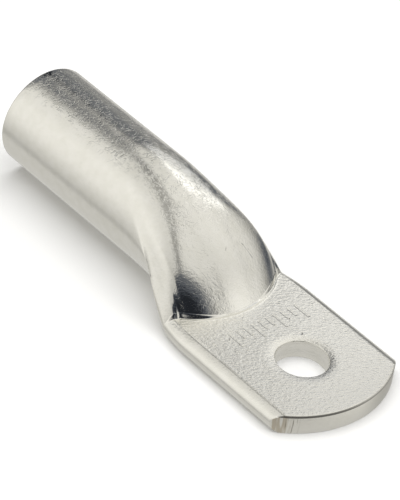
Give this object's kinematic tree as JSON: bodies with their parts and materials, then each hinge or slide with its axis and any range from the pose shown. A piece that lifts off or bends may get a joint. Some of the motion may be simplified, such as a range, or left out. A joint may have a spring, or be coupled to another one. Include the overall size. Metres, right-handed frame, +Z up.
{
  "type": "tubular cable lug",
  "caption": "Tube lug for a stranded power cable: a round barrel with a blind bore, pressed flat at its front into a palm with a stud hole.",
  "frame": {"origin": "centre of the stud hole on the palm's underside, which is the contact face", "axes": "+X from the stud hole to the palm's tip, with the barrel and its mouth towards -X; +Z up along the stud, out of the palm's top; +Y across the palm"},
  "size_m": [0.0934, 0.031, 0.021],
  "materials": {
    "tinned_copper": "satin tin plating on copper, with fine handling scratches"
  },
  "bodies": {
    "root": {"cable_lug": "tinned_copper"}
  },
  "joints": []
}
